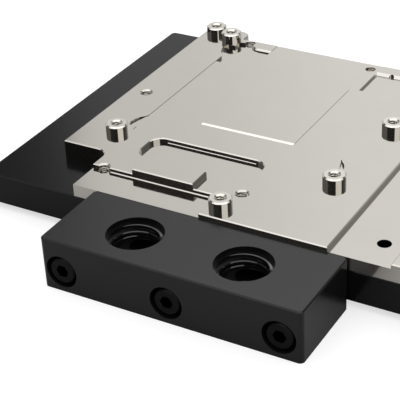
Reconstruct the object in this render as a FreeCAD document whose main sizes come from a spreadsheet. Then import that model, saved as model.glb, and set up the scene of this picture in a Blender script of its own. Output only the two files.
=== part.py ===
import FreeCAD, Part
import math
import os
import Sketcher

# Liquid cooling cold plate, contact side up, millimetres.
# Origin: centre of the die face and of the square of board standoffs.
# +X runs along the terminal block, +Y runs away from it, +Z leaves the die face.

doc = FreeCAD.newDocument("liquid_cooling_cold_plate")
sizes = doc.addObject("Spreadsheet::Sheet", "sizes")

# Driving sizes: name, value in millimetres, meaning
SIZES = [
    ("plate_left", -42.0, "base plate, left edge"),
    ("plate_right", 88.0, "base plate, right edge"),
    ("plate_front", -59.1, "base plate, front edge, against the terminal block"),
    ("plate_back", 33.0, "base plate, back edge"),
    ("plate_corner", 2.0, "base plate, corner radius"),
    ("plate_under", -4.95, "underside of the base plate, top of the cover"),
    ("main_top", -0.35, "main milled surface"),
    ("step_top", -1.6, "lower steps: front strip, pocket and right trench"),
    ("recess_top", -0.6, "floor of the recess round the die pad"),
    ("island_top", 1.05, "top of the front island"),
    ("pads_top", 0.55, "top of the two back pads"),
    ("edge_bevel", 0.25, "bevel on the milled top edges"),
    ("ear_right", -28.4, "left standoff ear, right edge"),
    ("ear_back", 38.0, "standoff ears, back edge"),
    ("ear_corner", 2.6, "standoff ear, corner radius"),
    ("notch_right", -28.0, "front left notch, right edge"),
    ("notch_back", -42.6, "front left notch, back edge"),
    ("notch_corner", 3.0, "front left notch, inner corner radius"),
    ("strip_right", 8.6, "front strip, right end"),
    ("strip_back", -49.8, "front strip, foot of its wall"),
    ("island_left", -16.0, "front island, left side"),
    ("island_right", 1.8, "front island, right side"),
    ("island_back", -42.9, "front island, back side"),
    ("pocket_left", -20.8, "component pocket, left side"),
    ("pocket_right", 12.8, "component pocket, right side"),
    ("pocket_front", -41.0, "component pocket, front side"),
    ("pocket_back", -30.3, "component pocket, back side"),
    ("pocket_corner", 3.5, "component pocket, corner radius"),
    ("recess_half_x", 28.9, "die recess, half width"),
    ("recess_front", -24.6, "die recess, front side"),
    ("recess_back", 20.2, "die recess, back side"),
    ("relief_wide", 3.2, "corner relief of the recess, width"),
    ("relief_long", 5.4, "corner relief of the recess, length"),
    ("relief_top", -1.15, "corner relief of the recess, floor"),
    ("die_left", -13.3, "die pad, left side"),
    ("die_right", 14.3, "die pad, right side"),
    ("die_front", -19.4, "die pad, front side"),
    ("die_back", 15.4, "die pad, back side"),
    ("die_corner", 1.0, "die pad, corner radius"),
    ("die_bevel", 0.5, "bevel round the die pad"),
    ("trench_left", 42.8, "right trench, left wall"),
    ("trench_right", 58.5, "right trench, right wall"),
    ("padone_left", -24.6, "back left pad, left side"),
    ("padone_right", -15.6, "back left pad, right side"),
    ("padone_front", 26.8, "back left pad, front side"),
    ("padone_corner", 3.4, "back left pad, front left radius"),
    ("padtwo_left", 17.7, "back right pad, left side"),
    ("padtwo_front", 27.4, "back right pad, front side"),
    ("padtwo_right", 27.0, "back right pad, right side"),
    ("pad_corner", 1.2, "back pads, small corner radius"),
    ("far_ear_left", 28.0, "right standoff ear, left edge"),
    ("far_ear_right", 38.0, "right standoff ear, right edge"),
    ("fin_left", -13.5, "first channel between the fins, left side"),
    ("fin_gap", 0.5, "width of a channel between fins"),
    ("fin_pitch", 1.0, "spacing of the channels"),
    ("fin_reach", 16.0, "half length of the channels"),
    ("fin_deep", 2.35, "depth of the channels"),
    ("fin_count", 28.0, "number of channels"),
    ("board_half", 32.0, "half the side of the square of board standoffs"),
    ("tap_wide", 2.5, "core diameter of an M3 thread"),
    ("tap_mouth", 3.7, "countersink diameter of an M3 thread"),
    ("tap_deep", 3.4, "depth of an M3 thread below the main surface"),
    ("post_wide", 6.0, "standoff, outer diameter"),
    ("post_high", 2.4, "standoff, height above the main surface"),
    ("post_bevel", 0.35, "standoff, bevel on the top edge"),
    ("post_mouth", 3.3, "standoff, countersink diameter of its thread"),
    ("spigot_wide", 4.0, "standoff, diameter of the pressed spigot"),
    ("spigot_deep", 2.8, "standoff, length of the pressed spigot"),
    ("spigot_play", 0.025, "radial room of a spigot in its bore"),
    ("floor_play", 0.2, "room under a spigot or screw end"),
    ("mount_wide", 3.5, "plain through hole for a mounting screw"),
    ("cover_left", -56.5, "cover, left side"),
    ("cover_right", 92.0, "cover, right side"),
    ("cover_back", 37.8, "cover, back side"),
    ("cover_bottom", -13.4, "cover, underside"),
    ("cover_corner", 1.5, "cover, corner radius"),
    ("cover_bevel", 0.3, "cover, bevel on the outer edges"),
    ("lane_high", 3.2, "height of the coolant passages"),
    ("lane_wide", 10.0, "width of the coolant passages"),
    ("lane_mid", -9.2, "middle height of the coolant passages"),
    ("lane_corner", 1.5, "corner radius of the coolant passages"),
    ("plenum_left", -13.0, "inlet plenum, left side"),
    ("plenum_right", 14.0, "inlet plenum, right side"),
    ("plenum_half", 4.0, "inlet plenum, half depth"),
    ("jet_left", -15.0, "jet plate recess, left side"),
    ("jet_right", 15.5, "jet plate recess, right side"),
    ("jet_half", 12.6, "jet plate recess, half depth"),
    ("jet_thick", 0.8, "jet plate, thickness"),
    ("jet_slot", 2.0, "jet plate, width of the slot"),
    ("jet_margin", 2.5, "jet plate, metal left at the ends of the slot"),
    ("jet_play", 0.1, "room round the jet plate in its recess"),
    ("collect_deep", 1.55, "depth of the collecting channel"),
    ("collect_near", 13.6, "collecting channel, near side"),
    ("collect_far", 19.6, "collecting channel, far side"),
    ("collect_side", 16.9, "collecting channel, left side of its right leg"),
    ("collect_turn", 20.9, "collecting channel, right side of its right leg"),
    ("drop_front", -34.0, "outlet drop, front side"),
    ("drop_back", -26.0, "outlet drop, back side"),
    ("seal_left", -19.0, "main seal centre line, left"),
    ("seal_right", 35.5, "main seal centre line, right"),
    ("seal_front", -39.0, "main seal centre line, front"),
    ("seal_back", 24.0, "main seal centre line, back"),
    ("seal_corner", 5.0, "main seal centre line, corner radius"),
    ("seal_wide", 1.7, "main seal, width when squeezed"),
    ("seal_deep", 1.2, "main seal, height when squeezed"),
    ("groove_wide", 2.0, "main seal groove, width"),
    ("seal_round", 0.35, "bevel of the seal edges"),
    ("block_left", -21.4, "terminal block, left side"),
    ("block_right", 48.2, "terminal block, right side"),
    ("block_front", -83.1, "terminal block, front face"),
    ("block_top", -1.5, "terminal block, top"),
    ("block_bottom", -15.5, "terminal block, underside"),
    ("block_corner", 1.2, "terminal block, corner radius"),
    ("block_bevel", 0.35, "terminal block, bevel on the outer edges"),
    ("port_one", -1.4, "middle of the left port"),
    ("port_two", 27.9, "middle of the right port"),
    ("port_row", -71.75, "depth position of both ports"),
    ("port_core", 13.157, "major diameter of the G1/4 port thread"),
    ("port_mouth", 14.3, "relief at the mouth of a port, diameter"),
    ("port_mouth_deep", 1.5, "relief at the mouth of a port, depth"),
    ("ring_wide", 1.2, "port seal, width when squeezed"),
    ("ring_deep", 1.0, "port seal, height when squeezed"),
    ("ring_gap", 0.7, "land between a passage and its seal groove"),
    ("ring_play", 0.1, "room each side of a port seal in its groove"),
    ("bolt_first", -15.8, "terminal screw, left"),
    ("bolt_second", 13.3, "terminal screw, middle"),
    ("bolt_third", 42.4, "terminal screw, right"),
    ("bolt_high", -9.9, "height of the terminal screws"),
    ("bolt_wide", 4.0, "terminal screw, thread diameter"),
    ("bolt_long", 30.0, "terminal screw, length under the head"),
    ("bolt_head_wide", 7.0, "terminal screw, head diameter"),
    ("bolt_head_high", 4.0, "terminal screw, head height"),
    ("bolt_hex", 3.0, "terminal screw, socket across flats"),
    ("bolt_hex_deep", 2.0, "terminal screw, socket depth"),
    ("bolt_sink", 0.3, "head face below the face of the block"),
    ("bolt_mouth", 8.6, "terminal block, counterbore diameter"),
    ("bolt_pass", 4.3, "terminal block, through hole for a screw"),
    ("bolt_bevel", 0.35, "terminal screw, bevel on the head"),
    ("fix_wide", 3.0, "cover screw, thread diameter"),
    ("fix_pass", 3.4, "cover, through hole for a screw"),
    ("fix_head_wide", 5.5, "cover screw, head diameter"),
    ("fix_head_high", 3.0, "cover screw, head height"),
    ("fix_mouth", 6.2, "cover, counterbore diameter"),
    ("fix_sink", 0.3, "cover screw, head face below the underside"),
    ("fix_reach", 2.6, "cover screw, length in the base plate"),
    ("fix_hex", 2.5, "cover screw, socket across flats"),
    ("fix_hex_deep", 1.5, "cover screw, socket depth"),
    ("fix_bevel", 0.25, "cover screw, bevel on the head"),
    ("thread_play", 0.02, "radial room between a screw and its thread"),
]

# Plan positions: extra standoffs, threaded holes, plain hole and cover screws
POSTS = [("left_back", -38.3, 34.1), ("front_mid", 11.85, -53.65), ("right_mid", 34.4, -0.6)]
TAPS = [("front_left", -24.6, -49.9), ("front_mid", 13.9, -46.5), ("left_mid", -36.8, -9.4)]
TAPS += [("back_mid", 14.5, 30.0), ("back_left", -25.3, 31.5)]
PLAIN = (53.2, -50.3)
FIXINGS = [(-23.5, -42.0), (9.0, -44.0), (40.2, -44.0), (82.0, -53.0), (40.2, -8.0)]
FIXINGS += [(82.0, 27.0), (40.2, 27.0), (8.0, 29.0), (-23.5, 25.5), (-23.5, -8.0)]

for row, (name, value, meaning) in enumerate(SIZES, start=1):
    sizes.set("A%d" % row, name)
    sizes.set("B%d" % row, str(value))
    sizes.setAlias("B%d" % row, name)
    sizes.set("C%d" % row, meaning)
row = len(SIZES)
for group, spots in (("post", POSTS), ("tap", TAPS)):
    for name, x, y in spots:
        for axis, value in (("x", x), ("y", y)):
            row += 1
            sizes.set("B%d" % row, str(value))
            sizes.setAlias("B%d" % row, "%s_%s_%s" % (group, name, axis))
for number_, (x, y) in enumerate(FIXINGS + [PLAIN], start=1):
    for axis, value in (("x", x), ("y", y)):
        row += 1
        sizes.set("B%d" % row, str(value))
        sizes.setAlias("B%d" % row, "fixing_%s_%s" % ("abcdefghijk"[number_ - 1], axis))
doc.recompute()


def number(expression):
    """Value of an expression over the named sizes."""
    return float(sizes.evalExpression(expression))


def body(name, x="0", y="0", z="0", turn=0.0):
    """New body whose placement follows the named sizes; turn is about X, in degrees."""
    made = doc.addObject("PartDesign::Body", name)
    made.Label = name
    turned = FreeCAD.Rotation(FreeCAD.Vector(1, 0, 0), turn)
    made.Placement = FreeCAD.Placement(FreeCAD.Vector(0, 0, 0), turned)
    for axis, expression in (("x", x), ("y", y), ("z", z)):
        made.setExpression("Placement.Base." + axis, expression)
    return made


def sketch(owner, name, role, height):
    """Sketch on an origin plane of the body, moved along the normal of that plane."""
    plane = next(item for item in owner.Origin.OriginFeatures if item.Role == role)
    made = owner.newObject("Sketcher::SketchObject", name)
    made.AttachmentSupport = (plane, [""])
    made.MapMode = "FlatFace"
    made.setExpression("AttachmentOffset.Base.z", height)
    return made


def pin(made, kind, item, point, expression):
    """Hold a point of the sketch at a distance from its origin."""
    value = number(expression)
    if abs(value) < 1e-9:
        axis = -2 if kind == "DistanceX" else -1
        made.addConstraint(Sketcher.Constraint("PointOnObject", item, point, axis))
        return
    spot = made.addConstraint(Sketcher.Constraint(kind, -1, 1, item, point, value))
    made.setExpression("Constraints[%d]" % spot, expression)


def rectangle(made, left, right, front, back, radius=""):
    """Rectangle, with corner arcs where a radius is given."""
    x0, x1, y0, y1 = number(left), number(right), number(front), number(back)
    r = number(radius) if radius else 0.0
    spot = FreeCAD.Vector
    lines = [
        Part.LineSegment(spot(x0 + r, y0, 0), spot(x1 - r, y0, 0)),
        Part.LineSegment(spot(x1, y0 + r, 0), spot(x1, y1 - r, 0)),
        Part.LineSegment(spot(x1 - r, y1, 0), spot(x0 + r, y1, 0)),
        Part.LineSegment(spot(x0, y1 - r, 0), spot(x0, y0 + r, 0)),
    ]
    first = made.addGeometry(lines, False)[0]
    rule = Sketcher.Constraint
    if radius:
        corners = [(x1 - r, y0 + r, -90), (x1 - r, y1 - r, 0), (x0 + r, y1 - r, 90), (x0 + r, y0 + r, 180)]
        arcs = []
        for x, y, start in corners:
            circle_ = Part.Circle(spot(x, y, 0), spot(0, 0, 1), r)
            arcs.append(Part.ArcOfCircle(circle_, math.radians(start), math.radians(start + 90)))
        made.addGeometry(arcs, False)
        for step in range(4):
            made.addConstraint(rule("Tangent", first + step, 2, first + 4 + step, 1))
            made.addConstraint(rule("Tangent", first + 4 + step, 2, first + (step + 1) % 4, 1))
        for step in (1, 2, 3):
            made.addConstraint(rule("Equal", first + 4, first + 4 + step))
        held = made.addConstraint(rule("Radius", first + 4, r))
        made.setExpression("Constraints[%d]" % held, radius)
    else:
        for step in range(4):
            made.addConstraint(rule("Coincident", first + step, 2, first + (step + 1) % 4, 1))
    for step, kind in ((0, "Horizontal"), (1, "Vertical"), (2, "Horizontal"), (3, "Vertical")):
        made.addConstraint(rule(kind, first + step))
    pin(made, "DistanceY", first, 1, front)
    pin(made, "DistanceX", first + 1, 1, right)
    pin(made, "DistanceY", first + 2, 1, back)
    pin(made, "DistanceX", first + 3, 1, left)


def circle(made, x, y, diameter):
    """Circle by its middle and diameter."""
    shape = Part.Circle(FreeCAD.Vector(number(x), number(y), 0), FreeCAD.Vector(0, 0, 1), number(diameter) / 2)
    item = made.addGeometry(shape, False)
    held = made.addConstraint(Sketcher.Constraint("Diameter", item, number(diameter)))
    made.setExpression("Constraints[%d]" % held, diameter)
    pin(made, "DistanceX", item, 3, x)
    pin(made, "DistanceY", item, 3, y)


def polygon(made, points):
    """Closed outline through points given as pairs of expressions."""
    spots = [FreeCAD.Vector(number(x), number(y), 0) for x, y in points]
    count = len(spots)
    for step in range(count):
        made.addGeometry(Part.LineSegment(spots[step], spots[(step + 1) % count]), False)
    for step in range(count):
        made.addConstraint(Sketcher.Constraint("Coincident", step, 2, (step + 1) % count, 1))
        pin(made, "DistanceX", step, 1, points[step][0])
        pin(made, "DistanceY", step, 1, points[step][1])


def pad(owner, name, profile, length):
    """Add material above the sketch."""
    made = owner.newObject("PartDesign::Pad", name)
    made.Profile = profile
    made.setExpression("Length", length)
    doc.recompute()
    return made


def pocket(owner, name, profile, length, towards_normal=False):
    """Remove material below the sketch, or above it where asked."""
    before = owner.Shape.Volume
    made = owner.newObject("PartDesign::Pocket", name)
    made.Profile = profile
    made.Reversed = towards_normal
    made.setExpression("Length", length)
    doc.recompute()
    if "Invalid" in made.State or not owner.Shape.Volume < before - 1e-6:
        raise RuntimeError("pocket %s removes nothing" % name)
    return made


def revolve(owner, name, points):
    """Body of revolution about its own Z axis from (radius, height) points."""
    outline = sketch(owner, name + "_profile", "XZ_Plane", "0")
    polygon(outline, points)
    made = owner.newObject("PartDesign::Revolution", name)
    made.Profile = outline
    made.ReferenceAxis = (outline, ["V_Axis"])
    made.Angle = 360.0
    doc.recompute()
    return made


def countersink(owner, name, x, y, top, mouth, core):
    """Cone at 45 degrees that opens the mouth of a thread."""
    made = owner.newObject("PartDesign::SubtractiveCone", name)
    made.setExpression("Radius1", core + " / 2")
    made.setExpression("Radius2", mouth + " / 2")
    made.setExpression("Height", "(%s - %s) / 2" % (mouth, core))
    made.setExpression("Placement.Base.x", x)
    made.setExpression("Placement.Base.y", y)
    made.setExpression("Placement.Base.z", "%s - (%s - %s) / 2" % (top, mouth, core))
    doc.recompute()
    return made


def rim(shape, height, keep):
    """Names of the edges at one height with a wall going down from them."""
    names = []
    for index, edge in enumerate(shape.Edges, start=1):
        box = edge.BoundBox
        if abs(box.ZMin - height) > 1e-4 or abs(box.ZMax - height) > 1e-4:
            continue
        faces = shape.ancestorsOfType(edge, Part.Face)
        if min(face.BoundBox.ZMin for face in faces) > height - 0.05:
            continue
        if keep(edge.CenterOfMass):
            names.append("Edge%d" % index)
    return names


def bevel(owner, name, names, size):
    """Equal bevel on the named edges of the body."""
    base = owner.Tip
    made = owner.newObject("PartDesign::Chamfer", name)
    made.Base = (base, names)
    made.setExpression("Size", size)
    doc.recompute()
    if "Invalid" in made.State or not names:
        raise RuntimeError("bevel %s fails" % name)
    return made


def turning(owner, name, corners, radius):
    """Round the upright edges of the body that stand at the given plan corners."""
    base = owner.Tip
    names = []
    for index, edge in enumerate(base.Shape.Edges, start=1):
        middle = edge.CenterOfMass
        upright = edge.BoundBox.ZLength > 0.01 and edge.BoundBox.XLength + edge.BoundBox.YLength < 1e-4
        for x, y in corners:
            if upright and abs(middle.x - number(x)) + abs(middle.y - number(y)) < 1e-3:
                names.append("Edge%d" % index)
    made = owner.newObject("PartDesign::Fillet", name)
    made.Base = (base, names)
    made.setExpression("Radius", radius)
    doc.recompute()
    if "Invalid" in made.State or not names:
        raise RuntimeError("rounding %s fails" % name)
    return made


def everywhere(middle):
    """Keep every edge."""
    return True


# Base plate: one milled block of plated copper, local zero at its underside
plate = body("base_plate", z="sizes.plate_under")
MAIN = "sizes.main_top - sizes.plate_under"
STEP = "sizes.step_top - sizes.plate_under"
FLOOR = "sizes.recess_top - sizes.plate_under"
main_high = number(MAIN)

outline = sketch(plate, "plate_outline", "XY_Plane", "0")
rectangle(outline, "sizes.plate_left", "sizes.plate_right", "sizes.plate_front", "sizes.plate_back", "sizes.plate_corner")
pad(plate, "plate_slab", outline, MAIN)

outline = sketch(plate, "ear_outline", "XY_Plane", "0")
rectangle(outline, "sizes.plate_left", "sizes.ear_right", "sizes.plate_back - 8", "sizes.ear_back", "sizes.ear_corner")
rectangle(outline, "sizes.far_ear_left", "sizes.far_ear_right", "sizes.plate_back - 8", "sizes.ear_back", "sizes.ear_corner")
pad(plate, "standoff_ears", outline, MAIN)

outline = sketch(plate, "notch_outline", "XY_Plane", MAIN)
rectangle(outline, "sizes.plate_left - 8", "sizes.notch_right", "sizes.plate_front - 8", "sizes.notch_back", "sizes.notch_corner")
pocket(plate, "corner_notch", outline, MAIN)

outline = sketch(plate, "strip_outline", "XY_Plane", MAIN)
rectangle(outline, "sizes.notch_right - 4", "sizes.strip_right", "sizes.plate_front - 4", "sizes.strip_back")
pocket(plate, "front_strip", outline, "sizes.main_top - sizes.step_top")

outline = sketch(plate, "trench_outline", "XY_Plane", MAIN)
rectangle(outline, "sizes.trench_left", "sizes.trench_right", "sizes.plate_front - 4", "sizes.plate_back + 4")
pocket(plate, "right_trench", outline, "sizes.main_top - sizes.step_top")

outline = sketch(plate, "pocket_outline", "XY_Plane", MAIN)
rectangle(outline, "sizes.pocket_left", "sizes.pocket_right", "sizes.pocket_front", "sizes.pocket_back", "sizes.pocket_corner")
pocket(plate, "component_pocket", outline, "sizes.main_top - sizes.step_top")

outline = sketch(plate, "island_outline", "XY_Plane", STEP)
rectangle(outline, "sizes.island_left", "sizes.island_right", "sizes.strip_back", "sizes.island_back")
pad(plate, "front_island", outline, "sizes.island_top - sizes.step_top")

outline = sketch(plate, "back_pads_outline", "XY_Plane", "sizes.step_top - sizes.plate_under")
rectangle(outline, "sizes.padone_left", "sizes.padone_right", "sizes.padone_front", "sizes.plate_back")
rectangle(outline, "sizes.padtwo_left", "sizes.padtwo_right", "sizes.padtwo_front", "sizes.plate_back")
pad(plate, "back_pads", outline, "sizes.pads_top - sizes.step_top")

turning(plate, "pad_turn", [("sizes.padone_left", "sizes.padone_front")], "sizes.padone_corner")
turning(plate, "pad_corners", [("sizes.padone_right", "sizes.padone_front"), ("sizes.padtwo_left", "sizes.padtwo_front")], "sizes.pad_corner")
bevel(plate, "island_edges", rim(plate.Tip.Shape, number("sizes.island_top - sizes.plate_under"), everywhere), "sizes.edge_bevel")
bevel(plate, "pad_edges", rim(plate.Tip.Shape, number("sizes.pads_top - sizes.plate_under"), everywhere), "sizes.edge_bevel")
bevel(plate, "milled_edges", rim(plate.Tip.Shape, main_high, everywhere), "sizes.edge_bevel")

outline = sketch(plate, "recess_outline", "XY_Plane", MAIN)
rectangle(outline, "-sizes.recess_half_x", "sizes.recess_half_x", "sizes.recess_front", "sizes.recess_back")
pocket(plate, "die_recess", outline, "sizes.main_top - sizes.recess_top")

outline = sketch(plate, "relief_outline", "XY_Plane", MAIN)
for side, x in (("-1", "-sizes.recess_half_x"), ("1", "sizes.recess_half_x")):
    for end, y in (("-1", "sizes.recess_front"), ("1", "sizes.recess_back")):
        shift = "%s * sizes.relief_long * 0.18"
        circle(outline, x + " + " + shift % side, y + " + " + shift % end, "sizes.relief_wide")
pocket(plate, "corner_reliefs", outline, "sizes.main_top - sizes.relief_top")

outline = sketch(plate, "die_outline", "XY_Plane", FLOOR)
rectangle(outline, "sizes.die_left", "sizes.die_right", "sizes.die_front", "sizes.die_back", "sizes.die_corner")
pad(plate, "die_pad", outline, "-sizes.recess_top")
bevel(plate, "die_edges", rim(plate.Tip.Shape, number("-sizes.plate_under"), everywhere), "sizes.die_bevel")

outline = sketch(plate, "tap_outline", "XY_Plane", "sizes.pads_top - sizes.plate_under")
for name, x, y in TAPS:
    circle(outline, "sizes.tap_%s_x" % name, "sizes.tap_%s_y" % name, "sizes.tap_wide")
pocket(plate, "threaded_holes", outline, "sizes.tap_deep + sizes.pads_top - sizes.main_top")
for name, x, y in TAPS:
    countersink(plate, "tap_%s_mouth" % name, "sizes.tap_%s_x" % name, "sizes.tap_%s_y" % name, MAIN, "sizes.tap_mouth", "sizes.tap_wide")

outline = sketch(plate, "spigot_outline", "XY_Plane", MAIN)
BORE = "sizes.spigot_wide + 2 * sizes.spigot_play"
for side in ("-sizes.board_half", "sizes.board_half"):
    for end in ("-sizes.board_half", "sizes.board_half"):
        circle(outline, side, end, BORE)
for name, x, y in POSTS:
    circle(outline, "sizes.post_%s_x" % name, "sizes.post_%s_y" % name, BORE)
pocket(plate, "spigot_bores", outline, "sizes.spigot_deep + sizes.floor_play")

outline = sketch(plate, "plain_hole_outline", "XY_Plane", MAIN)
circle(outline, "sizes.fixing_k_x", "sizes.fixing_k_y", "sizes.mount_wide")
pocket(plate, "plain_hole", outline, MAIN)

outline = sketch(plate, "fixing_outline", "XY_Plane", "0")
for letter in "abcdefghij":
    circle(outline, "sizes.fixing_%s_x" % letter, "sizes.fixing_%s_y" % letter, "sizes.fix_wide + 2 * sizes.thread_play")
pocket(plate, "cover_screw_holes", outline, "sizes.fix_reach + sizes.floor_play", True)

outline = sketch(plate, "channel_outline", "XY_Plane", "0")
rectangle(outline, "sizes.fin_left", "sizes.fin_left + sizes.fin_gap", "-sizes.fin_reach", "sizes.fin_reach")
channel = pocket(plate, "first_channel", outline, "sizes.fin_deep", True)
fins = plate.newObject("PartDesign::LinearPattern", "fin_field")
fins.Originals = [channel]
fins.Direction = (outline, ["H_Axis"])
fins.setExpression("Length", "sizes.fin_pitch * (sizes.fin_count - 1)")
fins.setExpression("Occurrences", "sizes.fin_count")
plate.Tip = fins
doc.recompute()

# Cover: one machined block with the coolant passages, local zero at its top face
cover = body("cover", z="sizes.plate_under")
COVER_HIGH = "sizes.plate_under - sizes.cover_bottom"
LANE_TOP = "sizes.lane_mid + sizes.lane_high / 2 - sizes.plate_under"
LANE_FLOOR = "sizes.lane_mid - sizes.lane_high / 2 - sizes.plate_under"

outline = sketch(cover, "cover_outline", "XY_Plane", "-(%s)" % COVER_HIGH)
rectangle(outline, "sizes.cover_left", "sizes.cover_right", "sizes.plate_front", "sizes.cover_back", "sizes.cover_corner")
pad(cover, "cover_slab", outline, COVER_HIGH)
bevel(cover, "cover_top_edges", rim(cover.Tip.Shape, 0.0, everywhere), "sizes.cover_bevel")

outline = sketch(cover, "jet_recess_outline", "XY_Plane", "0")
rectangle(outline, "sizes.jet_left", "sizes.jet_right", "-sizes.jet_half", "sizes.jet_half", "sizes.jet_margin")
pocket(cover, "jet_recess", outline, "sizes.jet_thick")

outline = sketch(cover, "plenum_outline", "XY_Plane", "0")
rectangle(outline, "sizes.plenum_left", "sizes.plenum_right", "-sizes.plenum_half", "sizes.plenum_half", "sizes.lane_corner")
pocket(cover, "inlet_plenum", outline, "-(%s)" % LANE_FLOOR)

outline = sketch(cover, "collect_front_outline", "XY_Plane", "0")
rectangle(outline, "sizes.jet_left", "sizes.collect_turn", "-sizes.collect_far", "-sizes.collect_near", "sizes.lane_corner")
pocket(cover, "collector_front", outline, "sizes.collect_deep")

outline = sketch(cover, "collect_back_outline", "XY_Plane", "0")
rectangle(outline, "sizes.jet_left", "sizes.collect_turn", "sizes.collect_near", "sizes.collect_far", "sizes.lane_corner")
pocket(cover, "collector_back", outline, "sizes.collect_deep")

outline = sketch(cover, "collect_side_outline", "XY_Plane", "0")
rectangle(outline, "sizes.collect_side", "sizes.collect_turn", "-sizes.collect_far", "sizes.collect_far", "sizes.lane_corner")
pocket(cover, "collector_side", outline, "sizes.collect_deep")

outline = sketch(cover, "outlet_outline", "XY_Plane", "0")
rectangle(outline, "sizes.collect_side", "sizes.port_two + sizes.lane_wide / 2", "sizes.drop_front", "-sizes.collect_near", "sizes.lane_corner")
pocket(cover, "outlet_bay", outline, "sizes.collect_deep")

outline = sketch(cover, "drop_outline", "XY_Plane", "0")
rectangle(outline, "sizes.port_two - sizes.lane_wide / 2", "sizes.port_two + sizes.lane_wide / 2", "sizes.drop_front", "sizes.drop_back", "sizes.lane_corner")
pocket(cover, "outlet_drop", outline, "-(%s)" % LANE_FLOOR)

outline = sketch(cover, "inlet_lane_outline", "XZ_Plane", "-sizes.plate_front")
rectangle(outline, "sizes.port_one - sizes.lane_wide / 2", "sizes.port_one + sizes.lane_wide / 2", LANE_FLOOR, LANE_TOP, "sizes.lane_corner")
pocket(cover, "inlet_lane", outline, "-sizes.plate_front - sizes.plenum_half / 2")

outline = sketch(cover, "outlet_lane_outline", "XZ_Plane", "-sizes.plate_front")
rectangle(outline, "sizes.port_two - sizes.lane_wide / 2", "sizes.port_two + sizes.lane_wide / 2", LANE_FLOOR, LANE_TOP, "sizes.lane_corner")
pocket(cover, "outlet_lane", outline, "sizes.drop_front - sizes.plate_front + sizes.plenum_half / 2")

outline = sketch(cover, "groove_outline", "XY_Plane", "0")
HALF = " + sizes.groove_wide / 2"
LESS = " - sizes.groove_wide / 2"
rectangle(outline, "sizes.seal_left" + LESS, "sizes.seal_right" + HALF, "sizes.seal_front" + LESS, "sizes.seal_back" + HALF, "sizes.seal_corner" + HALF)
rectangle(outline, "sizes.seal_left" + HALF, "sizes.seal_right" + LESS, "sizes.seal_front" + HALF, "sizes.seal_back" + LESS, "sizes.seal_corner" + LESS)
pocket(cover, "seal_groove", outline, "sizes.seal_deep")

outline = sketch(cover, "bolt_thread_outline", "XZ_Plane", "-sizes.plate_front")
for name in ("first", "second", "third"):
    circle(outline, "sizes.bolt_%s" % name, "sizes.bolt_high - sizes.plate_under", "sizes.bolt_wide + 2 * sizes.thread_play")
BOLT_REACH = "sizes.bolt_long - (sizes.plate_front - sizes.block_front - sizes.bolt_head_high - sizes.bolt_sink)"
pocket(cover, "bolt_threads", outline, BOLT_REACH + " + sizes.floor_play")

outline = sketch(cover, "pass_outline", "XY_Plane", "0")
for letter in "abcdefghij":
    circle(outline, "sizes.fixing_%s_x" % letter, "sizes.fixing_%s_y" % letter, "sizes.fix_pass")
circle(outline, "sizes.fixing_k_x", "sizes.fixing_k_y", "sizes.mount_wide")
pocket(cover, "cover_passes", outline, COVER_HIGH)

outline = sketch(cover, "mouth_outline", "XY_Plane", "-(%s)" % COVER_HIGH)
for letter in "abcdefghij":
    circle(outline, "sizes.fixing_%s_x" % letter, "sizes.fixing_%s_y" % letter, "sizes.fix_mouth")
pocket(cover, "cover_counterbores", outline, "sizes.fix_head_high + sizes.fix_sink", True)

# Terminal block: both ports open upward, local zero at the middle of its back face, at the top
block = body("terminal_block", x="(sizes.block_left + sizes.block_right) / 2", y="sizes.plate_front", z="sizes.block_top")
MIDDLE = " - (sizes.block_left + sizes.block_right) / 2"
BLOCK_HIGH = "sizes.block_top - sizes.block_bottom"
BLOCK_DEEP = "sizes.plate_front - sizes.block_front"
PORT_Y = "sizes.port_row - sizes.plate_front"
BOLT_Z = "sizes.bolt_high - sizes.block_top"

outline = sketch(block, "block_outline", "XY_Plane", "-(%s)" % BLOCK_HIGH)
rectangle(outline, "sizes.block_left" + MIDDLE, "sizes.block_right" + MIDDLE, "-(%s)" % BLOCK_DEEP, "0", "sizes.block_corner")
pad(block, "block_solid", outline, BLOCK_HIGH)
bevel(block, "block_top_edges", rim(block.Tip.Shape, 0.0, everywhere), "sizes.block_bevel")

outline = sketch(block, "port_outline", "XY_Plane", "0")
circle(outline, "sizes.port_one" + MIDDLE, PORT_Y, "sizes.port_core")
circle(outline, "sizes.port_two" + MIDDLE, PORT_Y, "sizes.port_core")
pocket(block, "port_bores", outline, BLOCK_HIGH)

for place, height, inward in (("upper", "0", False), ("lower", "-(%s)" % BLOCK_HIGH, True)):
    outline = sketch(block, place + "_mouth_outline", "XY_Plane", height)
    circle(outline, "sizes.port_one" + MIDDLE, PORT_Y, "sizes.port_mouth")
    circle(outline, "sizes.port_two" + MIDDLE, PORT_Y, "sizes.port_mouth")
    pocket(block, place + "_port_mouths", outline, "sizes.port_mouth_deep", inward)

LANE_LOW = "sizes.lane_mid - sizes.lane_high / 2 - sizes.block_top"
LANE_HIGH = "sizes.lane_mid + sizes.lane_high / 2 - sizes.block_top"
for port in ("port_one", "port_two"):
    middle = "sizes." + port + MIDDLE
    outline = sketch(block, port + "_lane_outline", "XZ_Plane", "0")
    rectangle(outline, middle + " - sizes.lane_wide / 2", middle + " + sizes.lane_wide / 2", LANE_LOW, LANE_HIGH, "sizes.lane_corner")
    pocket(block, port + "_lane", outline, "-(%s)" % PORT_Y, True)
    outline = sketch(block, port + "_groove_outline", "XZ_Plane", "0")
    for grow in ("sizes.ring_gap", "(sizes.ring_gap + sizes.ring_wide + 2 * sizes.ring_play)"):
        rectangle(
            outline,
            middle + " - sizes.lane_wide / 2 - " + grow,
            middle + " + sizes.lane_wide / 2 + " + grow,
            LANE_LOW + " - " + grow,
            LANE_HIGH + " + " + grow,
            "sizes.lane_corner + " + grow,
        )
    pocket(block, port + "_ring_groove", outline, "sizes.ring_deep", True)

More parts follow.
